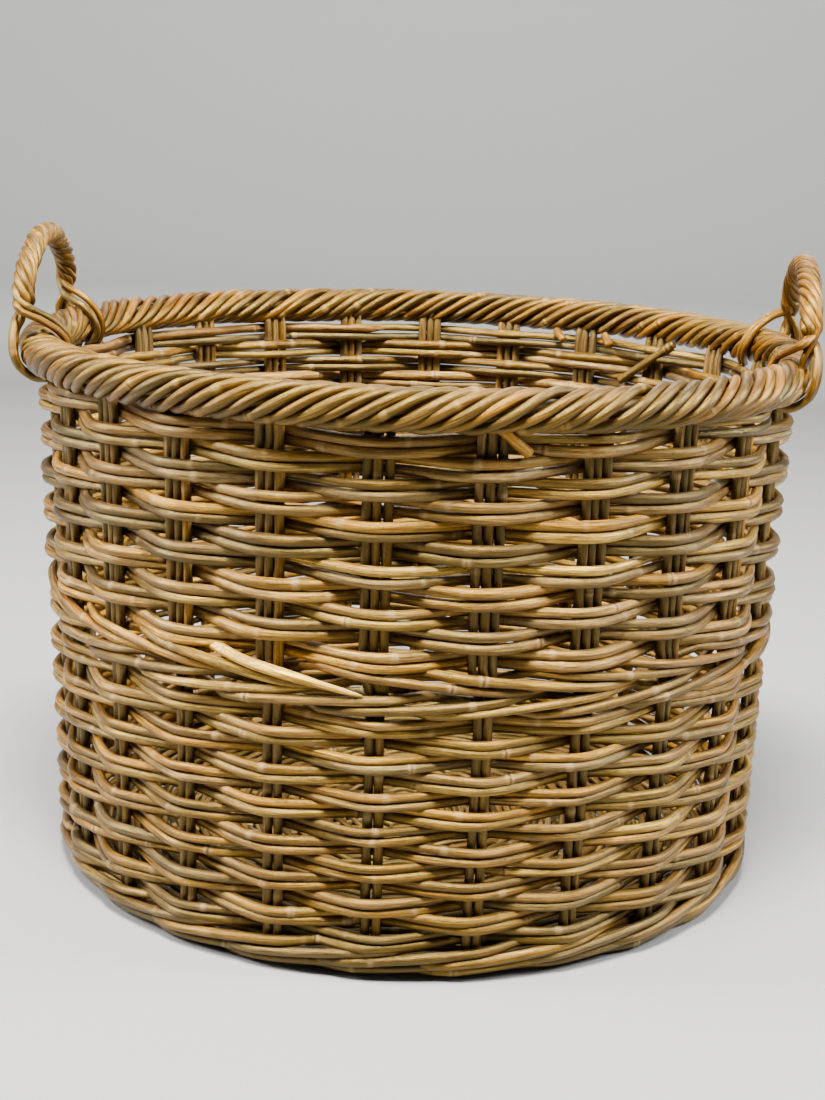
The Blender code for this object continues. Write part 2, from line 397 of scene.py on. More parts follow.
class Shading:
    """A material's node tree, with a short call for each kind of node that it needs."""

    def __init__(self, name):
        self.material = bpy.data.materials.new(name)
        self.material.use_nodes = True
        self.nodes = self.material.node_tree.nodes
        self.links = self.material.node_tree.links
        self.shader = self.nodes["Principled BSDF"]
        self.grain = self.attribute("rod_grain", "Vector")

    def node(self, kind, **settings):
        made = self.nodes.new(kind)
        for key, value in settings.items():
            setattr(made, key, value)
        return made

    def feed(self, socket, value):
        """Give a socket its number or colour, or link it to another node's output."""
        if isinstance(value, float):
            socket.default_value = value
        elif isinstance(value, tuple):
            socket.default_value = (*value, 1.0)
        else:
            self.links.new(value, socket)

    def attribute(self, name, output):
        return self.node("ShaderNodeAttribute", attribute_name=name).outputs[output]

    def noise(self, pattern):
        mapping = self.node("ShaderNodeMapping")
        mapping.inputs["Scale"].default_value = (pattern.along, pattern.around, pattern.around)
        self.feed(mapping.inputs["Vector"], self.grain)
        made = self.node("ShaderNodeTexNoise")
        made.inputs["Scale"].default_value = 1.0
        made.inputs["Detail"].default_value = pattern.detail
        made.inputs["Roughness"].default_value = pattern.roughness
        self.feed(made.inputs["Vector"], mapping.outputs["Vector"])
        return made.outputs["Fac"]

    def ramp(self, factor, low, high, dark=0.0, light=1.0):
        """From dark where factor is low to light where it is high, with soft ends."""
        made = self.node("ShaderNodeMapRange", interpolation_type="SMOOTHSTEP")
        limits = {"From Min": low, "From Max": high, "To Min": dark, "To Max": light}
        for key, value in limits.items():
            made.inputs[key].default_value = value
        self.feed(made.inputs["Value"], factor)
        return made.outputs["Result"]

    def mix(self, kind, factor, first, second):
        made = self.node("ShaderNodeMix", data_type="RGBA", blend_type=kind, clamp_result=True)
        self.feed(made.inputs["Factor"], factor)
        self.feed(made.inputs[6], first)
        self.feed(made.inputs[7], second)
        return made.outputs[2]

    def tinted(self, colour, amount, tint):
        """The colour, multiplied by tint where amount is 1."""
        return self.mix("MULTIPLY", amount, colour, tint)

    def join(self, first, second, operation="ADD"):
        made = self.node("ShaderNodeMath", operation=operation)
        self.feed(made.inputs[0], first)
        self.feed(made.inputs[1], second)
        return made.outputs[0]

    def times(self, first, second):
        return self.join(first, second, "MULTIPLY")


def aged_colour(tree, grime):
    """The rod's own colour with slow drift, brown stains and bleached patches."""
    colour = tree.attribute("rod_colour", "Color")
    drift = tree.ramp(tree.noise(DRIFT), 0.34, 0.66)
    colour = tree.tinted(colour, drift, DRIFT_TINT)
    stains = tree.ramp(tree.noise(STAINS), 0.52, 0.62)
    colour = tree.tinted(colour, tree.times(stains, 0.8 * grime), STAIN_TINT)
    bleached = tree.ramp(tree.noise(BLEACHING), 0.52, 0.72)
    return tree.mix("MIX", tree.times(bleached, 0.15), colour, BLEACHED)


def fibrous_colour(tree, colour, fibre, fibres, fine):
    """Light and dark lengthwise stripes, coarse to fine."""
    stripes = tree.noise(STRIPES)
    light = tree.ramp(stripes, 0.50, 0.63, 0.0, fibre)
    colour = tree.tinted(colour, light, LIGHT_STRIPE_TINT)
    dark = tree.ramp(stripes, 0.50, 0.36, 0.0, 0.9 * fibre)
    colour = tree.tinted(colour, dark, DARK_FIBRE_TINT)
    light = tree.ramp(fibres, 0.50, 0.66, 0.0, fibre)
    colour = tree.tinted(colour, light, LIGHT_FIBRE_TINT)
    dark = tree.ramp(fibres, 0.51, 0.39, 0.0, 0.8 * fibre)
    colour = tree.tinted(colour, dark, DARK_FIBRE_TINT)
    dark = tree.ramp(fine, 0.48, 0.37, 0.0, 0.9 * fibre)
    return tree.tinted(colour, dark, FINE_FIBRE_TINT)


def speck_mask(tree):
    specks = tree.ramp(tree.noise(SPECKS), 0.60, 0.68)
    freckled = tree.ramp(tree.noise(FRECKLED), 0.48, 0.62)
    return tree.times(specks, freckled)


def noded_colour(tree, colour, fine, knot, ring):
    """A node: a brown ragged patch, and a thin dark ring on the strongest ones."""
    ragged = tree.times(knot, tree.ramp(fine, 0.25, 0.75, 0.4, 1.5))
    bark = tree.ramp(ragged, 0.10, 0.55, 0.0, 0.28)
    colour = tree.mix("MIX", bark, colour, NODE_BARK)
    dark = tree.ramp(ragged, 0.55, 1.0, 0.0, 0.75)
    colour = tree.tinted(colour, dark, NODE_TINT)
    return tree.tinted(colour, ring, NODE_RING_TINT)


def with_painted_shade(tree, colour):
    """Painted shade: what faces down is darkened according to the surface's direction, and the
    seams where rods touch are darkened by ambient occlusion."""
    facing = tree.node("ShaderNodeNewGeometry").outputs["Normal"]
    split = tree.node("ShaderNodeSeparateXYZ")
    tree.feed(split.inputs["Vector"], facing)
    # Painted shade: darker where the surface faces down.
    under = tree.ramp(split.outputs["Z"], -0.65, 0.45, 0.75, 0.0)
    colour = tree.tinted(colour, under, PAINTED_UNDERSIDE_SHADE)
    # Painted shade in the seams between rods, from ambient occlusion.
    seam = tree.node("ShaderNodeAmbientOcclusion", samples=6)
    seam.inputs["Distance"].default_value = SEAM_REACH
    seam_shade_amount = tree.ramp(seam.outputs["AO"], 0.12, 0.80, 0.75, 0.0)
    return tree.tinted(colour, seam_shade_amount, PAINTED_SEAM_SHADE)


def rattan_material(name, gloss, fibre, grime, varnish=WALL_VARNISH):
    """Round rattan. gloss is its roughness, fibre how strong its grain is, and grime how much
    stain it holds."""
    tree = Shading(name)
    shader = tree.shader
    fibres = tree.noise(FIBRES)
    fine = tree.noise(FINE_FIBRES)
    specks = speck_mask(tree)
    knot = tree.attribute("rod_knot", "Fac")
    ring = tree.ramp(knot, 0.74, 0.95, 0.0, 0.9)

    colour = aged_colour(tree, grime)
    colour = fibrous_colour(tree, colour, fibre, fibres, fine)
    colour = tree.tinted(colour, tree.times(specks, 0.9), SPECK_TINT)
    colour = noded_colour(tree, colour, fine, knot, ring)
    # Painted shade on the undersides and in the seams between rods.
    colour = with_painted_shade(tree, colour)
    colour = tree.tinted(colour, 1.0, varnish)
    tree.feed(shader.inputs["Base Color"], colour)

    rough = tree.ramp(fibres, 0.3, 0.7, gloss - 0.07, gloss + 0.12)
    rough = tree.join(rough, tree.times(specks, 0.2))
    tree.feed(shader.inputs["Roughness"], rough)
    shader.inputs["Specular IOR Level"].default_value = GLOSS_LEVEL
    shader.inputs["Specular Tint"].default_value = GLOSS_TINT

    height = tree.join(fibres, tree.times(fine, 0.5))
    height = tree.join(height, tree.times(ring, -0.5))
    bump = tree.node("ShaderNodeBump")
    bump.inputs["Strength"].default_value = BUMP_STRENGTH
    bump.inputs["Distance"].default_value = BUMP_DEPTH
    tree.feed(bump.inputs["Height"], height)
    tree.feed(shader.inputs["Normal"], bump.outputs["Normal"])
    return tree.material


def add_piece(name, rods, material, slot, *nodes):
    """One visible piece that stands for the CAD nodes named."""
    mesh = rods.mesh(name)
    mesh.materials.append(material)
    piece = bpy.data.objects.new(name, mesh)
    bpy.context.scene.collection.objects.link(piece)
    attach(piece, "root")
    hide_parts(*nodes)


# ---- stakes

STAKE_FOOT = 0.006
STAKE_HEAD = RIM_HEIGHT + 0.002
STAKE_STEP = 0.009
STAKE_SPACING = 2.03
STAKE_SIZES = (0.93, 1.07)
STAKE_NODES = 0.16
# At the middle of the wall the rods of a stake shift sideways, over this height.
SHIFT_HEIGHT = 0.024

# The head leans out under the border, the foot turns in under the basket.
HEAD_LEAN = 0.007
HEAD_FROM = 0.372
HEAD_REACH = 0.022
FOOT_TURN = 0.012
FOOT_FROM = 0.030
FOOT_REACH = 0.026

# A stake's rods. lower and upper are sideways distances from the middle of the group, in rods.
Upright = collections.namedtuple("Upright", "lower upper foot")
UPRIGHTS = (
    Upright(-0.2, -1.0, STAKE_FOOT),
    Upright(0.8, 0.0, STAKE_FOOT),
    Upright(1.1, 1.0, MIDDLE - 0.022),
)
DARK_UPRIGHT = DARK * 0.6


def stake_rod(rods, index, upright, colour):
    """One upright rod of the stake with that index."""
    height = np.append(np.arange(upright.foot, STAKE_HEAD, STAKE_STEP), STAKE_HEAD)
    blend = np.clip((height - MIDDLE + SHIFT_HEIGHT / 2) / SHIFT_HEIGHT, 0, 1)
    blend = blend * blend * (3 - 2 * blend)
    place = upright.lower + (upright.upper - upright.lower) * blend
    sideways = place * STAKE_ROD * STAKE_SPACING + smooth_noise(height, 0.06, 0.0006)
    outward = smooth_noise(height, 0.05, 0.0004)
    outward = outward + HEAD_LEAN * np.clip((height - HEAD_FROM) / HEAD_REACH, 0, 1) ** 2
    outward = outward - FOOT_TURN * np.clip((FOOT_FROM - height) / FOOT_REACH, 0, 1) ** 2
    angle = stake_angle(index)
    tangent = np.array([-math.sin(angle), math.cos(angle), 0.0])
    points = on_circle(angle, wall_radius(height) + outward, height)
    points = points + sideways[:, None] * tangent
    rods.add(points, STAKE_ROD * RANDOM.uniform(*STAKE_SIZES), colour, node_step=STAKE_NODES)


def build_stakes(material):
    """The first stake, at the front, has one nearly black rod."""
    for index in range(STAKE_COUNT):
        rods = Rods()
        for upright in UPRIGHTS:
            dark = index == 0 and upright is UPRIGHTS[-1]
            colour = DARK_UPRIGHT if dark else pick_colour(STAKE_COLOURS, STAKE_SHADE)
            stake_rod(rods, index, upright, colour)
        name = f"stake_{index + 1:02d}"
        add_piece(f"{name}_rods", rods, material, "rattan_stake", name)


# ---- weaving

WEAVE_SLACK = 0.0010
WEAVE_DIP = 0.0006
SAG = 0.0045
SAG_REACH = 0.13
WEAVER_STEP = 0.07
WEAVER_OVERLAP = 0.42
WEAVER_SIZES = (0.86, 1.08)
WEAVER_TAPER = (0.018, 0.030)
WEAVER_NODES = 0.15
PAIR_SWAY = 0.0008
TUCK = 0.0028
TUCK_REACH = 0.35

# Slow waves along a weaver: how long each is, in stakes, and how strong.
STAGGER = (0.9, 0.055)
BULGE = (0.6, 0.0003)
ROLL = (1.6, 0.0005)
RIPPLE = (0.42, 0.0004)


def rounded_step(value):
    """About value itself near 0, levelling off to 1 and -1 with a short bend."""
    return value / (1 + np.abs(value) ** 7) ** (1 / 7)


def over_under(place, parity, ramp):
    """From -1, inside a stake, to 1, outside it: level where a rod lies on a stake and nearly
    straight between stakes."""
    away = np.abs(np.mod(place + parity + 1.0, 2.0) - 1.0)
    return rounded_step((0.5 - away) / ramp) / rounded_step(0.5 / ramp)


def sag(place, height):
    """The middle of the wall has slipped: up on the left of the front, down on the right."""
    strength = SAG * np.clip(1 - np.abs(height - MIDDLE) / SAG_REACH, 0, 1)
    return -strength * np.sin(FULL_TURN * (place + 1) / STAKE_COUNT)


# How a part of the wall is woven: the rod's radius, its colours and how light they are, how
# sharply a rod turns from inside to outside, and the distance from one course to the next.
Weave = collections.namedtuple("Weave", "rod colours shade ramp pitch")


def pitch_of(section):
    return middle_height(f"weave_{section}_01") - middle_height(f"weave_{section}_02")


UPPER = Weave(UPPER_ROD, UPPER_COLOURS, UPPER_SHADE, (0.33, 0.43), pitch_of("upper"))
LOWER = Weave(LOWER_ROD, WALL_COLOURS, LOWER_SHADE, (0.41, 0.50), pitch_of("lower"))


def weaver_path(first, last, height, parity, rod, shared, ramp):
    """A rod's middle line between two stake places, going over and under."""
    place = np.append(np.arange(first, last, WEAVER_STEP), last)
    stagger = smooth_noise(place, *STAGGER)
    side = over_under(place + stagger, parity, RANDOM.uniform(*ramp))
    offset = side * (STAKE_ROD + rod + WEAVE_SLACK) + smooth_noise(place, *BULGE)
    level = height + shared(place) + sag(place, height) - WEAVE_DIP * side
    level = level + smooth_noise(place, *ROLL) + smooth_noise(place, *RIPPLE)
    # Each end slips a little further in, so that the next rod covers it.
    nearest = np.minimum(place - place[0], place[-1] - place)
    tuck = TUCK * np.clip(1 - nearest / TUCK_REACH, 0, 1)
    return on_circle(stake_angle(place), wall_radius(height) + offset - tuck, level)


def pair_sway():
    """A slow wave round the basket, with which both rods of a pair rise and sink."""
    phases = RANDOM.uniform(0, FULL_TURN, 3)

    def shared(place):
        turn = FULL_TURN * place / STAKE_COUNT
        wave = sum(np.sin(turn * (k + 2) + phases[k]) / (k + 1.5) for k in range(3))
        return wave * PAIR_SWAY

    return shared


def add_course(rods, height, parity, weave):
    """Two rods, one above the other, each in a few lengths that meet behind a stake."""
    shared = pair_sway()
    half_pair = min(weave.rod, 1.05 * weave.pitch / 4) * 0.985
    for row in (-1, 1):
        joints = behind_stakes(parity)
        for begin, end in zip(joints, joints[1:] + [joints[0] + STAKE_COUNT]):
            size = weave.rod * RANDOM.uniform(*WEAVER_SIZES)
            first, last = begin - WEAVER_OVERLAP, end + WEAVER_OVERLAP
            level = height + row * half_pair
            path = weaver_path(first, last, level, parity, size, shared, weave.ramp)
            colour = pick_colour(weave.colours, weave.shade)
            rods.add(path, size, colour, taper=WEAVER_TAPER, node_step=WEAVER_NODES)


def behind_stakes(parity):
    """Two or three stake places, spread round the course, that its rods pass on the inside."""
    count = int(RANDOM.integers(2, 4))
    start = RANDOM.uniform(0, STAKE_COUNT)
    places = []
    for turn in range(count):
        wish = start + STAKE_COUNT * (turn + RANDOM.uniform(-0.15, 0.15)) / count
        # Whole places where the over-under wave is at its innermost.
        places.append(2 * round((wish + parity - 1) / 2) - parity + 1)
    return places


def outside_parity(index):
    """The first course of a section passes outside the odd stakes, and each next one swaps."""
    return (index + 1) % 2


def build_courses(material):
    sections = (("upper", UPPER_COURSES, UPPER), ("lower", LOWER_COURSES, LOWER))
    for section, count, weave in sections:
        for index in range(count):
            rods = Rods()
            name = f"weave_{section}_{index + 1:02d}"
            add_course(rods, middle_height(name), outside_parity(index), weave)
            add_piece(f"{name}_rods", rods, material, "rattan_weaver", name)


# ---- wales

WALE_RAMP = 0.34
WALE_STEP = 0.08
WALE_SIZES = (0.90, 1.06)
WALE_TAPER = (0.02, 0.03)
WALE_OVERLAP = 0.33
WALE_LAP = 0.0016

# A round of three-rod wale: its height, the rod's radius, how far a rod falls on the outside (it
# rises if that is negative), how far the wale is set in, and how light its colours are.
Wale = collections.namedtuple("Wale", "height rod fall inset shade", defaults=(0.0, 1.0))


def wale_strand(rods, wale, strand, begin, end):
    """One rod between two stake places: behind one stake, outside the next two."""
    colour = pick_colour(WALL_COLOURS, wale.shade)
    place = np.append(np.arange(begin, end, WALE_STEP), end)
    beat = np.mod(place + strand, 3.0)
    share = np.clip((beat - 0.5) / 2.0, 0, 1)
    behind = np.clip(np.mod(beat - 2.5, 3.0), 0, 1)
    outside = (beat > 0.5) & (beat < 2.5)
    fall = np.where(outside, 0.5 - share, behind - 0.5)
    edge = np.minimum(beat - 0.5, 2.5 - beat)
    side = np.minimum(rounded_step(edge / WALE_RAMP) / rounded_step(0.5 / WALE_RAMP), 1)
    size = wale.rod * RANDOM.uniform(*WALE_SIZES)
    # A rod that has just come out lies over the ones before it.
    over = WALE_LAP * np.where(outside, 1 - share, 0)
    offset = side * (STAKE_ROD + size) + over - wale.inset
    level = wale.height + wale.fall * fall + sag(place, wale.height)
    level = level + smooth_noise(place, 0.7, 0.0007)
    radius = wall_radius(wale.height) + offset + smooth_noise(place, 0.8, 0.0003)
    rods.add(on_circle(stake_angle(place), radius, level), size, colour, taper=WALE_TAPER)


def wale_cuts(strand, gap):
    """Where one rod of a wale ends and the next starts, each behind a stake. gap is a pair of
    stake places between which the first strand is left out."""
    gapped = gap and strand == 0
    start = gap[1] if gapped else RANDOM.uniform(0, STAKE_COUNT)
    wishes = [start + STAKE_COUNT * k / 3 + RANDOM.uniform(-1, 1) for k in range(3)]
    cuts = [3 * round((wish + strand) / 3) - strand for wish in wishes]
    if gapped:
        return [start, *cuts[1:], gap[0] + STAKE_COUNT]
    return [*cuts, cuts[0] + STAKE_COUNT]


def wale_row(rods, wale, gap=None):
    """A whole round of wale."""
    for strand in range(3):
        cuts = wale_cuts(strand, gap)
        for begin, end in zip(cuts, cuts[1:]):
            wale_strand(rods, wale, strand, begin - WALE_OVERLAP, end + WALE_OVERLAP)


def build_middle_wale(material):
    """One more pair of weavers, then two rows of wale that mirror each other."""
    rods = Rods()
    low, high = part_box("wale_mid_outer")
    add_course(rods, high[2] - 0.0070, outside_parity(UPPER_COURSES), UPPER)
    falling = high[2] - 0.0225
    wale_row(rods, Wale(falling, 0.0034, 0.0145), gap=(-3.0, 0.0))
    wale_row(rods, Wale(low[2] + 0.0090, 0.0034, -0.0140))
    add_loose_end(rods, falling)
    nodes = "wale_mid_outer", "wale_mid_inner"
    add_piece("middle_wale_rods", rods, material, "rattan_wale", *nodes)


LOOSE_ROD = 0.0036
LOOSE_COLOUR = STRAW * 0.85


def add_loose_end(rods, height):
    """The thick pale rod whose tip lies free over the wale, left of the front's middle."""
    place = np.arange(-3.35, -1.0, 0.06)
    out = rounded_step((place + 2.5) / WALE_RAMP) * (STAKE_ROD + LOOSE_ROD) + 0.0030
    level = height + 0.0095 - 0.0190 * np.clip((place + 2.6) / 1.6, 0, 1) ** 1.15
    path = on_circle(stake_angle(place), wall_radius(level) + out, level + sag(place, level))
    rods.add(path, LOOSE_ROD, LOOSE_COLOUR, sides=10, taper=(0.02, 0.045), node_step=0.07)


def build_bottom_wale(material):
    """One more pair of weavers, then a row of wale that rises on the outside."""
    rods = Rods()
    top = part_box("upsett_outer")[1][2]
    weave = LOWER._replace(shade=FOOT_PAINTED_SHADE)
    add_course(rods, top - 0.0058, outside_parity(LOWER_COURSES), weave)
    wale_row(rods, Wale(top - 0.0175, 0.0035, -0.0135, 0.0008, FOOT_PAINTED_SHADE))
    nodes = "upsett_outer", "upsett_inner"
    add_piece("bottom_wale_rods", rods, material, "rattan_wale", *nodes)


FOOT_ROD = 0.0033
FOOT_RADIUS = 0.2575
FOOT_SPACING = 0.0062
FOOT_LEVEL = 0.0037


def build_foot(material):
    """The lowest wale, tucked in under the wall, and the rods that it stands on."""
    rods = Rods()
    wale_row(rods, Wale(0.0092, 0.0035, -0.0085, 0.0046, FOOT_PAINTED_SHADE))
    for ring in range(2):
        angle = np.linspace(0, FULL_TURN, 289) + ring
        radius = FOOT_RADIUS - FOOT_SPACING * ring + smooth_noise(angle, 0.3, 0.0006)
        level = FOOT_LEVEL + 0.0006 * (1 + smooth_noise(angle, 0.25, 1.0)) / 2
        colour = pick_colour(WALL_COLOURS, FOOT_PAINTED_SHADE)
        rods.add(on_circle(angle, radius, level), FOOT_ROD, colour)
    add_piece("foot_rods", rods, material, "rattan_wale", "foot_ring")


# ---- floor

STICK_COUNT = STAKE_COUNT // 2
STICK_ROD = 0.0029
STICK_BEND = 0.0022
FLOOR_ROD = 0.0026
FLOOR_INNER = 0.028
FLOOR_OUTER = 0.2510
FLOOR_PITCH = FLOOR_ROD * 2.08
FLOOR_WAVE = 0.0026
FLOOR_STEP = 0.0065
# Inside this radius the floor's rods go over and under twelve times, outside it 24 times.
FLOOR_OPENED = 0.085
# Each end of a ring goes this far past where it closes, as an angle.
RING_LAP = 0.05


def build_sticks(material):
    """The sticks that cross in the floor, each nearly straight."""
    rods = Rods()
    reach = outer_radius("base_sticks") - 0.002
    level = middle_height("base_sticks") + 0.001
    along = np.linspace(-reach, reach, 34)
    for spoke in range(STICK_COUNT):
        angle = math.pi * spoke / STICK_COUNT
        bend = STICK_BEND * np.cos(along / reach * math.pi / 2) * (spoke % 3 - 1)
        east, north = along * math.cos(angle), along * math.sin(angle)
        points = np.stack([east, north, level + 0.003 + bend], axis=1)
        rods.add(points, STICK_ROD, pick_colour(BASE_COLOURS, BASE_PAINTED_SHADE))
    add_piece("base_stick_rods", rods, material, "rattan_base", "base_sticks")


def build_floor_weave(material):
    """Closed rings of rod, over and under the sticks by turns."""
    rods = Rods()
    middle = middle_height("base_weave") - 0.002
    for ring in range(int((FLOOR_OUTER - FLOOR_INNER) / FLOOR_PITCH)):
        radius = FLOOR_INNER + (ring + 0.5) * FLOOR_PITCH
        steps = max(48, int(FULL_TURN * radius / FLOOR_STEP))
        angle = np.linspace(-RING_LAP, FULL_TURN + RING_LAP, steps + 1) + ring * 0.7
        crossings = STAKE_COUNT if radius > FLOOR_OPENED else STICK_COUNT
        wave = np.cos(angle * crossings / 2 + math.pi * ring)
        level = middle + FLOOR_WAVE * wave + smooth_noise(angle, 0.5, 0.0003)
        path = on_circle(angle, radius + smooth_noise(angle, 0.6, 0.0002), level)
        rods.add(path, FLOOR_ROD, pick_colour(BASE_COLOURS, BASE_PAINTED_SHADE), sides=6)
    add_piece("base_weave_rods", rods, material, "rattan_base", "base_weave")


# ---- border

BORDER_LANES = 8
BORDER_TURNS = 15
BORDER_ROD = 0.00350
BORDER_SIZES = (0.84, 1.14)
BORDER_OVERLAP = 0.16
BORDER_STEPS = 34
BORDER_DRIFT = 0.11
BORDER_TAPER = (0.012, 0.012)
BORDER_NODES = 0.15
# How many turns a rod goes round the rope.
BORDER_LENGTHS = (1.0, 1.0, 1.0, 2.0)
CORE_ROD = 0.0078
# The core is near black as painted shade: it shows only in the grooves between the rods.
CORE_COLOUR = BROWN * 0.25
DIVE = 0.0048
DIVE_REACH = 0.2
# Rods start and end on the underside of the rope.
UNDER = -math.pi / 2


def rope_point(angle, lay, distance):
    """A point beside the rim's middle circle: lay 0 is outwards, a quarter turn is up."""
    radius = RIM_RADIUS + distance * np.cos(lay)
    return on_circle(angle, radius, RIM_HEIGHT + distance * np.sin(lay))


def border_cuts():
    """The turns of a lane at which one rod ends and the next starts."""
    cuts = [0.0]
    while cuts[-1] < BORDER_TURNS:
        cuts.append(cuts[-1] + RANDOM.choice(BORDER_LENGTHS))
    cuts[-1] = float(BORDER_TURNS)
    return cuts


def drift(angle, phases):
    """How far a lane strays round the rope from its even turning."""
    wave = sum(np.sin(angle * (5 + 4 * k) + phases[k]) / (1 + k) for k in range(3))
    return BORDER_DRIFT * wave


def dive(from_end):
    """How far a border rod has sunk into the rope, from the turns left to its end."""
    return DIVE * np.clip(1 - from_end / DIVE_REACH, 0, 1) ** 1.3


def border_rod(rods, lane, begin, end, phases):
    size = BORDER_ROD * RANDOM.uniform(*BORDER_SIZES)
    steps = int((end - begin + 2 * BORDER_OVERLAP) * BORDER_STEPS)
    turn = np.linspace(begin - BORDER_OVERLAP, end + BORDER_OVERLAP, steps)
    shift = (UNDER - FULL_TURN * lane / BORDER_LANES) / BORDER_TURNS
    angle = shift + turn * FULL_TURN / BORDER_TURNS
    lay = UNDER + turn * FULL_TURN + drift(angle, phases)
    outside = ROPE_RADIUS - size + 0.0004 + RANDOM.uniform(-0.0006, 0.0008)
    path = rope_point(angle, lay, outside - dive(turn - turn[0]) - dive(turn[-1] - turn))
    colour = pick_colour(BORDER_COLOURS, RIM_SHADE)
    rods.add(path, size, colour, sides=10, taper=BORDER_TAPER, node_step=BORDER_NODES)


def build_border(material):
    """A rope of short rods, laid side by side round a dark core."""
    rods = Rods()
    core = on_circle(np.linspace(0, FULL_TURN, 181), RIM_RADIUS, RIM_HEIGHT)
    rods.add(core, CORE_ROD, CORE_COLOUR, node_step=None)
    phases = RANDOM.uniform(0, FULL_TURN, (BORDER_LANES, 3))
    for lane in range(BORDER_LANES):
        cuts = border_cuts()
        for begin, end in zip(cuts, cuts[1:]):
            border_rod(rods, lane, begin, end, phases[lane])
    add_cut_ends(rods)
    add_piece("border_rope_rods", rods, material, "rattan_border", "border_rope")


# Rods of the border that were trimmed but stick out: the direction of each point (degrees), how
# far it stands out from the wall, and its height.
STICK_OUT = (
    (48.0, -0.012, 0.3440), (44.0, -0.012, 0.3570), (40.0, -0.010, 0.3700), (36.5, -0.004, 0.3830),
)
STUB = ((0.0, -0.011, 0.3735), (1.2, -0.007, 0.3765), (2.4, -0.002, 0.3800))
# The same for the one under the front, but from the first stake's own direction in stakes.
FRONT_END = (
    (-0.05, 0.006, 0.3880), (0.07, 0.0105, 0.3810), (0.18, 0.0105, 0.3735), (0.29, 0.0085, 0.3665),
)


def by_wall(angle, out, height):
    return smooth_through(on_circle(angle, wall_radius(RIM_HEIGHT) + out, height))


def add_cut_ends(rods):
    """One end under the front, a stick that leans inside the back right, and two short ends
    near it."""
    place, out, height = np.transpose(FRONT_END)
    front = by_wall(stake_angle(place), out, height)
    rods.add(front, 0.0037, HONEY * 0.42, sides=10, node_step=None)
    degrees, out, height = np.transpose(STICK_OUT)
    stick = by_wall(np.radians(degrees), out, height)
    rods.add(stick, 0.0034, GREY * 0.25, sides=10, node_step=0.08)
    for start in (61.0, 51.0):
        degrees, out, height = np.transpose(STUB)
        stub = by_wall(np.radians(start + degrees), out, height)
        rods.add(stub, 0.0035, TAN * 0.45, sides=10, node_step=None)


# ---- handles

HANDLE_PLANE = 0.2850
HANDLE_HALF_WIDTH = 0.083
HANDLE_LEG = 0.030
HANDLE_STRANDS = 6
HANDLE_ROD = 0.00285
HANDLE_SIZES = (0.94, 1.06)
HANDLE_NODES = 0.13
HANDLE_CORE = 0.0032
# The core is near black as painted shade: it shows only in the gaps between the strands.
HANDLE_CORE_COLOUR = BROWN * 0.2
HANDLE_LAY = 0.0053
HANDLE_PITCH = 0.062
HANDLE_FOOT = math.degrees(math.atan(HANDLE_HALF_WIDTH / HANDLE_PLANE))
HEADING = math.radians(150)
# The helix of each strand stops this many points before the foot of the leg.
LEG_CUT = 1

# One handle: its direction, how far it rises over its legs and where its strands start. legs
# holds the routes of the strands that leave inwards, in the middle and outwards, for the first
# leg and then for the other one, going round the rim to the left as seen from above.
Handle = collections.namedtuple("Handle", "direction rise phase legs")


def smooth_through(points, steps=9):
    """A curve through a few points (Catmull-Rom)."""
    points = np.asarray(points, float)
    padded = np.concatenate([[2 * points[0] - points[1]], points, [2 * points[-1] - points[-2]]])
    share = np.linspace(0, 1, steps, endpoint=False)[:, None]
    pieces = []
    for before, start, end, after in zip(padded, padded[1:], padded[2:], padded[3:]):
        pieces.append(
            start
            + 0.5 * share * (end - before)
            + share**2 * (before - 2.5 * start + 2 * end - 0.5 * after)
            + share**3 * (1.5 * (start - end) + 0.5 * (after - before))
        )
    return np.concatenate([*pieces, points[-1:]])


def handle_line(handle):
    """The middle line of a handle's rope: half an ellipse from one leg to the other."""
    turn = np.linspace(0, math.pi, 27)
    east, north = math.cos(handle.direction), math.sin(handle.direction)
    outward = np.array([east, north, 0.0])
    tangent = np.array([-north, east, 0.0])
    sideways = -HANDLE_HALF_WIDTH * np.cos(turn)
    line = HANDLE_PLANE * outward + sideways[:, None] * tangent
    line[:, 2] = RIM_HEIGHT + HANDLE_LEG + handle.rise * np.sin(turn)
    return line, outward


def rope_strands(line, outward, phase):
    """The handle's strands, each as its points along the line and its angle round it there."""
    along = np.gradient(line, axis=0)
    along /= np.linalg.norm(along, axis=1)[:, None]
    third = np.cross(outward, along)
    length = distance_along(line)
    strands = []
    for strand in range(HANDLE_STRANDS):
        lay = phase + FULL_TURN * (strand / HANDLE_STRANDS + length / HANDLE_PITCH)
        lay = lay + smooth_noise(length, 0.012, 0.12)
        distance = HANDLE_LAY + RANDOM.uniform(-0.0003, 0.0005)
        offset = np.cos(lay)[:, None] * outward + np.sin(lay)[:, None] * third
        strands.append((line + distance * offset, lay))
    return strands


# Routes that a handle's strands take from the foot of a leg: degrees further from the handle's
# middle than the leg, then millimetres out from the rim's middle line, and up from it.
OVER_INSIDE = (
    ((1.6, 8.5, 32), (1, 1.5, 28), (0.3, -6, 24),
     (-0.2, -13.5, 18), (-0.5, -20.5, 9.5), (-0.5, -19, -3), (-0.5, -11, -14)),
    ((1.4, 17.5, 33.5), (2, 14, 29.5), (2.2, 9, 27), (2.1, 2, 24), (1.8, -5, 20),
     (1.3, -12.5, 14.5), (0.9, -18, 6.5), (0.8, -16.5, -6), (0.8, -8, -15.5)),
)
EAR_BACK = (
    ((-1.6, 5.5, 29.5), (-1.7, -3, 25.5), (-1.7, -13, 18.5),
     (-1.2, -19.5, 8.5), (-0.4, -20, -3), (0, -15.5, -12), (0.2, -8.5, -18.5)),
    ((-1, 14, 29.5), (-1.9, 9, 24.5), (-2.4, 0, 20), (-2.6, -9, 15.5),
     (-2.3, -16, 7), (-1.6, -18, -3), (-1.2, -14, -11), (-0.8, -7.5, -17)),
)


def side_by_side(route):
    """The same route for two strands, one beside the other along the rim."""
    return route, tuple((degrees + 1.25, out, up) for degrees, out, up in route)


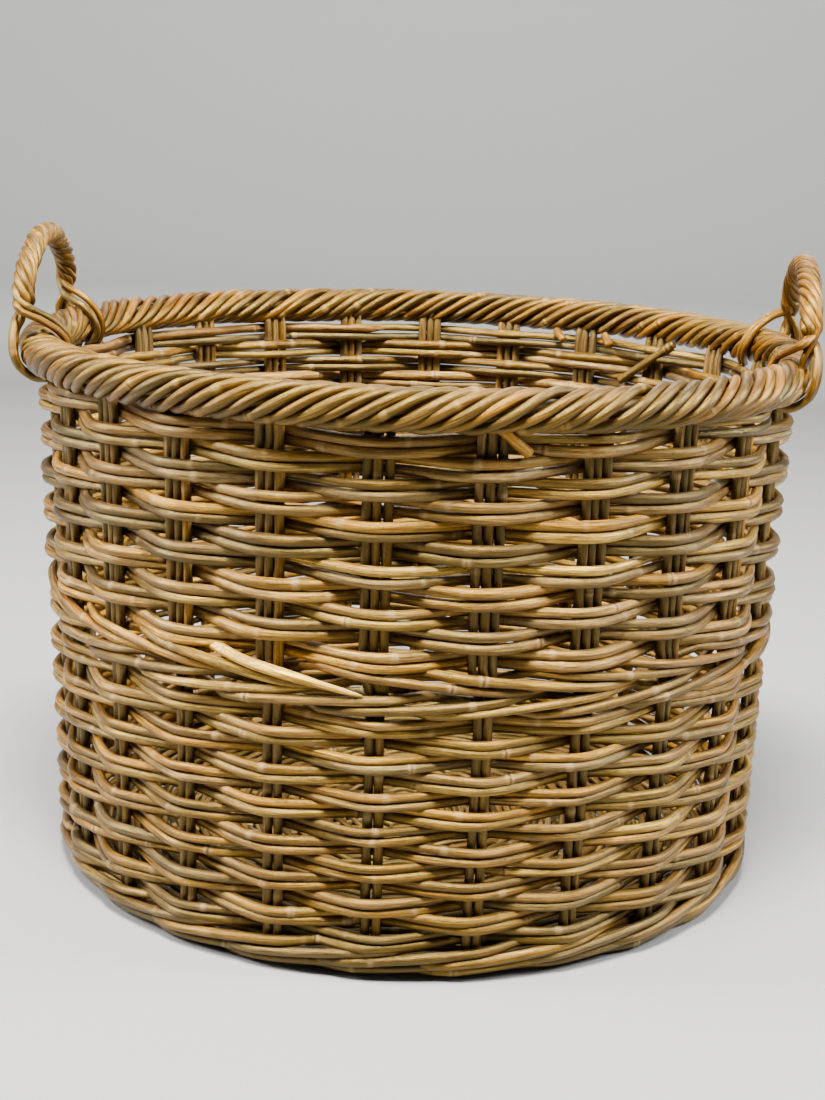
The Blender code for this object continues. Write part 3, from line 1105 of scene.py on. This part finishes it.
OVER_NEARBY = side_by_side((
    (1.3, 10, 28), (-1.4, -3, 20), (-3.9, -13, 13.5), (-5, -18, 2), (-5, -15.5, -9),
))
EAR_AWAY = side_by_side((
    (-0.8, 12, 33), (2.2, 4, 26.5), (2.8, -4, 20.5), (2.4, -12.5, 14), (2.6, -18, 3),
    (4, -17, -7), (6, -10.5, -14.5),
))
BIG_LOOP = side_by_side((
    (-1.4, 11, 30), (-1, 16, 24.5), (0.2, 19.5, 16.5), (1.2, 21, 7), (1.7, 20, -2.5),
    (1.2, 15.5, -11), (1.8, 6, -17.5), (3, -5, -17),
))
SMALL_LOOP = side_by_side((
    (-0.4, 13, 25), (-0.8, 17, 16), (-0.4, 18.5, 7), (-0.2, 18.5, -3), (0, 14, -13),
    (0.8, 4, -18),
))
SINK = side_by_side(((0, 11, 20), (-0.3, 9, 12), (-0.3, 6, 6)))

LEFT_LEGS = ((EAR_BACK, SINK, SMALL_LOOP), (OVER_INSIDE, SMALL_LOOP, BIG_LOOP))
RIGHT_LEGS = ((OVER_NEARBY, SINK, BIG_LOOP), (EAR_AWAY, SINK, SMALL_LOOP))
LEFT_HANDLE = Handle(math.radians(180.0), 0.048, 0.4, LEFT_LEGS)
RIGHT_HANDLE = Handle(math.radians(-6.0), 0.044, 0.0, RIGHT_LEGS)


def follow(route, direction, sign):
    """A route's points in space, from the leg that lies that way along the rim."""
    points = []
    for degrees, out, up in route:
        angle = direction + sign * math.radians(HANDLE_FOOT + degrees)
        radius = RIM_RADIUS + out / 1000
        points.append((radius * math.cos(angle), radius * math.sin(angle), RIM_HEIGHT + up / 1000))
    return points


def share_out(angles, turning):
    """Which strands leave a leg inwards, which sink into the border and which go outwards, from
    where each of them is heading as it turns round the leg. The one ahead comes first."""
    heading = np.asarray(angles) + turning * HEADING
    order = np.argsort(np.cos(heading))
    pairs = order[:2], order[2:4], order[4:]
    return [sorted(pair, key=lambda strand: turning * np.sin(heading[strand])) for pair in pairs]


def leg_ends(strands, handle, index, sign, routes):
    """How each strand goes on from one leg, by its number. index is where its helix stops."""
    ends = {}
    groups = share_out([lay[index] for _, lay in strands], sign)
    for pair, routes_of_pair in zip(groups, routes):
        for strand, route in zip(pair, routes_of_pair):
            ends[strand] = follow(route, handle.direction, sign)
    return ends


def build_handle(name, handle, material):
    """A rope of six strands round a dark core, whose ends are woven into the border."""
    rods = Rods()
    line, outward = handle_line(handle)
    strands = rope_strands(line, outward, handle.phase)
    first = leg_ends(strands, handle, LEG_CUT, -1, handle.legs[0])
    second = leg_ends(strands, handle, -1 - LEG_CUT, 1, handle.legs[1])
    for strand, (points, _) in enumerate(strands):
        points = [*first[strand][::-1], *points[LEG_CUT:-LEG_CUT], *second[strand]]
        size = HANDLE_ROD * RANDOM.uniform(*HANDLE_SIZES)
        colour = pick_colour(HANDLE_COLOURS, HANDLE_SHADE)
        rods.add(smooth_through(points, 5), size, colour, sides=10, node_step=HANDLE_NODES)
    rods.add(line[LEG_CUT:-LEG_CUT], HANDLE_CORE, HANDLE_CORE_COLOUR, node_step=None)
    add_piece(f"{name}_rope", rods, material, "rattan_handle", name)


# ---- stage, lights, camera

STUDIO_RADIUS = 4.2
STUDIO_BEND = 1.4
STUDIO_BEND_STEPS = 12
STUDIO_HEIGHT = 5.0
STUDIO_SIDES = 96
STUDIO_COLOUR = (0.235, 0.235, 0.23, 1)
STUDIO_ROUGHNESS = 0.75


def stage_profile():
    """The radius and height of each round of the stage's points, from the floor's edge up."""
    profile = [(STUDIO_RADIUS, 0.0)]
    for step in range(1, STUDIO_BEND_STEPS + 1):
        turn = math.pi / 2 * step / STUDIO_BEND_STEPS
        out, up = STUDIO_BEND * math.sin(turn), STUDIO_BEND * (1 - math.cos(turn))
        profile.append((STUDIO_RADIUS + out, up))
    profile.append((STUDIO_RADIUS + STUDIO_BEND, STUDIO_HEIGHT))
    return profile


def build_stage():
    """A round pale floor that curves up into a pale wall all round."""
    profile = stage_profile()
    turns = [FULL_TURN * k / STUDIO_SIDES for k in range(STUDIO_SIDES)]
    points = [(r * math.cos(turn), r * math.sin(turn), z) for r, z in profile for turn in turns]
    faces = [tuple(range(STUDIO_SIDES))]
    for row in range(len(profile) - 1):
        for k in range(STUDIO_SIDES):
            low = row * STUDIO_SIDES + k
            after = row * STUDIO_SIDES + (k + 1) % STUDIO_SIDES
            faces.append((low, low + STUDIO_SIDES, after + STUDIO_SIDES, after))
    mesh = bpy.data.meshes.new("studio_floor")
    mesh.from_pydata(points, [], faces)
    mesh.shade_smooth()
    mesh.materials.append(stage_material())
    floor = bpy.data.objects.new("studio_floor", mesh)
    bpy.context.scene.collection.objects.link(floor)


def stage_material():
    material = bpy.data.materials.new("studio_floor")
    material.use_nodes = True
    shader = material.node_tree.nodes["Principled BSDF"]
    shader.inputs["Base Color"].default_value = STUDIO_COLOUR
    shader.inputs["Roughness"].default_value = STUDIO_ROUGHNESS
    return material


BASKET = (0, 0, 0.22)
BACKDROP = (0, 5.4, 1.7)
WARM = (1.0, 0.98, 0.95)
COOL = (0.98, 0.99, 1.0)
NEARLY_WHITE = (1.0, 0.99, 0.97)
WHITE = (1.0, 1.0, 1.0)
SKY = (0.93, 0.95, 1.0, 1)
SKY_STRENGTH = 0.15

# Each light's name, place, target, size, power and colour.
LIGHTS = (
    ("top_light", (-0.1, -0.92, 2.45), BASKET, (0.8, 0.6), 395, WARM),
    ("left_light", (-2.1, -0.25, 1.5), BASKET, (0.7, 0.9), 165, WARM),
    ("right_light", (2.1, -0.30, 1.5), BASKET, (0.7, 0.9), 145, COOL),
    ("back_light", (0.3, 1.6, 1.9), BASKET, (1.0, 0.9), 26, NEARLY_WHITE),
    ("wall_light", (0, 2.4, 2.0), BACKDROP, (3.0, 1.2), 260, WHITE),
)


def area_light(name, place, target, size, power, colour):
    data = bpy.data.lights.new(name, "AREA")
    data.shape = "RECTANGLE"
    data.size, data.size_y = size
    data.energy = power
    data.color = colour
    light = bpy.data.objects.new(name, data)
    light.location = place
    light.rotation_euler = (Vector(target) - Vector(place)).to_track_quat("-Z", "Y").to_euler()
    bpy.context.scene.collection.objects.link(light)


def build_lights():
    for light in LIGHTS:
        area_light(*light)
    world = bpy.data.worlds.new("studio")
    bpy.context.scene.world = world
    world.use_nodes = True
    background = world.node_tree.nodes["Background"]
    background.inputs["Color"].default_value = SKY
    background.inputs["Strength"].default_value = SKY_STRENGTH


SENSOR_WIDTH = 36.0
FOCAL_IN_IMAGE_HEIGHTS = 1855 / 1100
# In rim radii: how far in front of the basket's middle, and how far above the rim.
CAMERA_DISTANCE = 4.969
CAMERA_RISE = 0.670
CAMERA_PITCH = math.radians(13.90)
CAMERA_ROLL = math.radians(1.83)


def build_camera():
    """A long lens a little above the rim, looking down into the front and slightly rolled."""
    data = bpy.data.cameras.new("camera")
    data.sensor_fit = "AUTO"
    data.sensor_width = SENSOR_WIDTH
    data.lens = SENSOR_WIDTH * FOCAL_IN_IMAGE_HEIGHTS
    data.clip_end = 50
    place = Vector((0.0, -CAMERA_DISTANCE * RIM_RADIUS, RIM_HEIGHT + CAMERA_RISE * RIM_RADIUS))
    forward = Vector((0, math.cos(CAMERA_PITCH), -math.sin(CAMERA_PITCH)))
    right = Vector((1, 0, 0))
    up = right.cross(forward)
    rolled_right = right * math.cos(CAMERA_ROLL) + up * math.sin(CAMERA_ROLL)
    rolled_up = up * math.cos(CAMERA_ROLL) - right * math.sin(CAMERA_ROLL)
    turn = Matrix((rolled_right, rolled_up, -forward)).transposed()
    camera = bpy.data.objects.new("camera", data)
    camera.matrix_world = Matrix.Translation(place) @ turn.to_4x4()
    bpy.context.scene.collection.objects.link(camera)
    bpy.context.scene.camera = camera


def main():
    build_camera()
    wall = rattan_material("rattan_wall", gloss=0.37, fibre=0.95, grime=1.0)
    upright = rattan_material("rattan_upright", gloss=0.50, fibre=1.0, grime=1.2)
    rim = rattan_material("rattan_rim", gloss=0.36, fibre=0.9, grime=1.0, varnish=RIM_VARNISH)
    build_sticks(upright)
    build_floor_weave(upright)
    build_foot(wall)
    build_bottom_wale(wall)
    build_stakes(upright)
    build_courses(wall)
    build_middle_wale(wall)
    build_border(rim)
    build_handle("handle_left", LEFT_HANDLE, rim)
    build_handle("handle_right", RIGHT_HANDLE, rim)
    build_stage()
    build_lights()


main()
